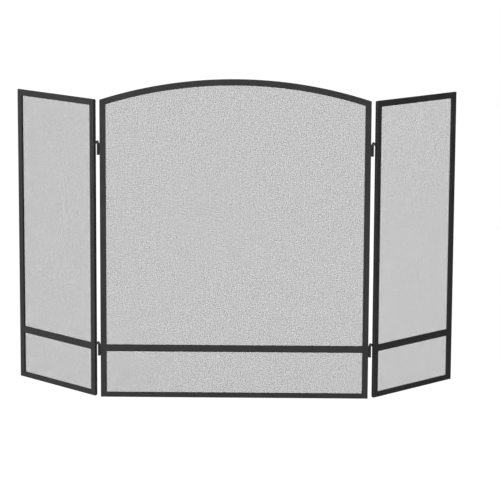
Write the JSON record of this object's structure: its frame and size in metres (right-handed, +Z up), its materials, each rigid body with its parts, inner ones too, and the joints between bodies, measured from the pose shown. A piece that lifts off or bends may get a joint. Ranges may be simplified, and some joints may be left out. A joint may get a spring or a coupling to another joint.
{
  "type": "folding fireplace screen",
  "caption": "Black steel fireplace screen with an arched centre panel and hinged side panels, each a flat-bar frame with a low mid rail and woven wire mesh behind it.",
  "frame": {"origin": "middle of the underside of the centre panel's bottom rail, at half the depth of the bar", "axes": "+Z up, +X to the right along the centre panel, front towards -Y, side panels folded back towards +Y"},
  "size_m": [1.0614, 0.207, 0.762],
  "materials": {
    "frame_paint": "matte black powder coat",
    "mesh_paint": "black coated woven wire",
    "strip_paint": "matte black powder coat",
    "rivet_paint": "satin black",
    "hinge_paint": "satin black, worn where the pins turn"
  },
  "bodies": {
    "center_panel": {"center_arch_rail": "frame_paint", "center_arch_strip": "strip_paint", "center_bottom_rail": "frame_paint", "center_bottom_strip": "strip_paint", "center_left_stile": "frame_paint", "center_left_strip": "strip_paint", "center_mid_rail": "frame_paint", "center_right_stile": "frame_paint", "center_right_strip": "strip_paint", "center_rivet_1": "rivet_paint", "center_rivet_2": "rivet_paint", "center_rivet_3": "rivet_paint", "center_rivet_4": "rivet_paint", "center_rivet_5": "rivet_paint", "center_rivet_6": "rivet_paint", "center_rivet_7": "rivet_paint", "center_rivet_8": "rivet_paint", "center_wire_mesh": "mesh_paint", "left_lower_hinge_barrel": "hinge_paint", "left_upper_hinge_barrel": "hinge_paint", "right_lower_hinge_barrel": "hinge_paint", "right_upper_hinge_barrel": "hinge_paint"},
    "left_panel": {"left_bottom_rail": "frame_paint", "left_bottom_strip": "strip_paint", "left_hinge_stile": "frame_paint", "left_hinge_strip": "strip_paint", "left_lower_hinge_pin": "hinge_paint", "left_mid_rail": "frame_paint", "left_outer_stile": "frame_paint", "left_outer_strip": "strip_paint", "left_rivet_1": "rivet_paint", "left_rivet_2": "rivet_paint", "left_rivet_3": "rivet_paint", "left_rivet_4": "rivet_paint", "left_rivet_5": "rivet_paint", "left_rivet_6": "rivet_paint", "left_top_rail": "frame_paint", "left_top_strip": "strip_paint", "left_upper_hinge_pin": "hinge_paint", "left_wire_mesh": "mesh_paint"},
    "right_panel": {"right_bottom_rail": "frame_paint", "right_bottom_strip": "strip_paint", "right_hinge_stile": "frame_paint", "right_hinge_strip": "strip_paint", "right_lower_hinge_pin": "hinge_paint", "right_mid_rail": "frame_paint", "right_outer_stile": "frame_paint", "right_outer_strip": "strip_paint", "right_rivet_1": "rivet_paint", "right_rivet_2": "rivet_paint", "right_rivet_3": "rivet_paint", "right_rivet_4": "rivet_paint", "right_rivet_5": "rivet_paint", "right_rivet_6": "rivet_paint", "right_top_rail": "frame_paint", "right_top_strip": "strip_paint", "right_upper_hinge_pin": "hinge_paint", "right_wire_mesh": "mesh_paint"}
  },
  "joints": [
    {"name": "left_fold", "type": "hinge", "parent": "center_panel", "child": "left_panel", "pos_m": [-0.321, 0, 0], "axis": [0, 0, -1], "range_deg": [-154, 66]},
    {"name": "right_fold", "type": "hinge", "parent": "center_panel", "child": "right_panel", "pos_m": [0.321, 0, 0], "axis": [0, 0, 1], "range_deg": [-154, 66]}
  ]
}
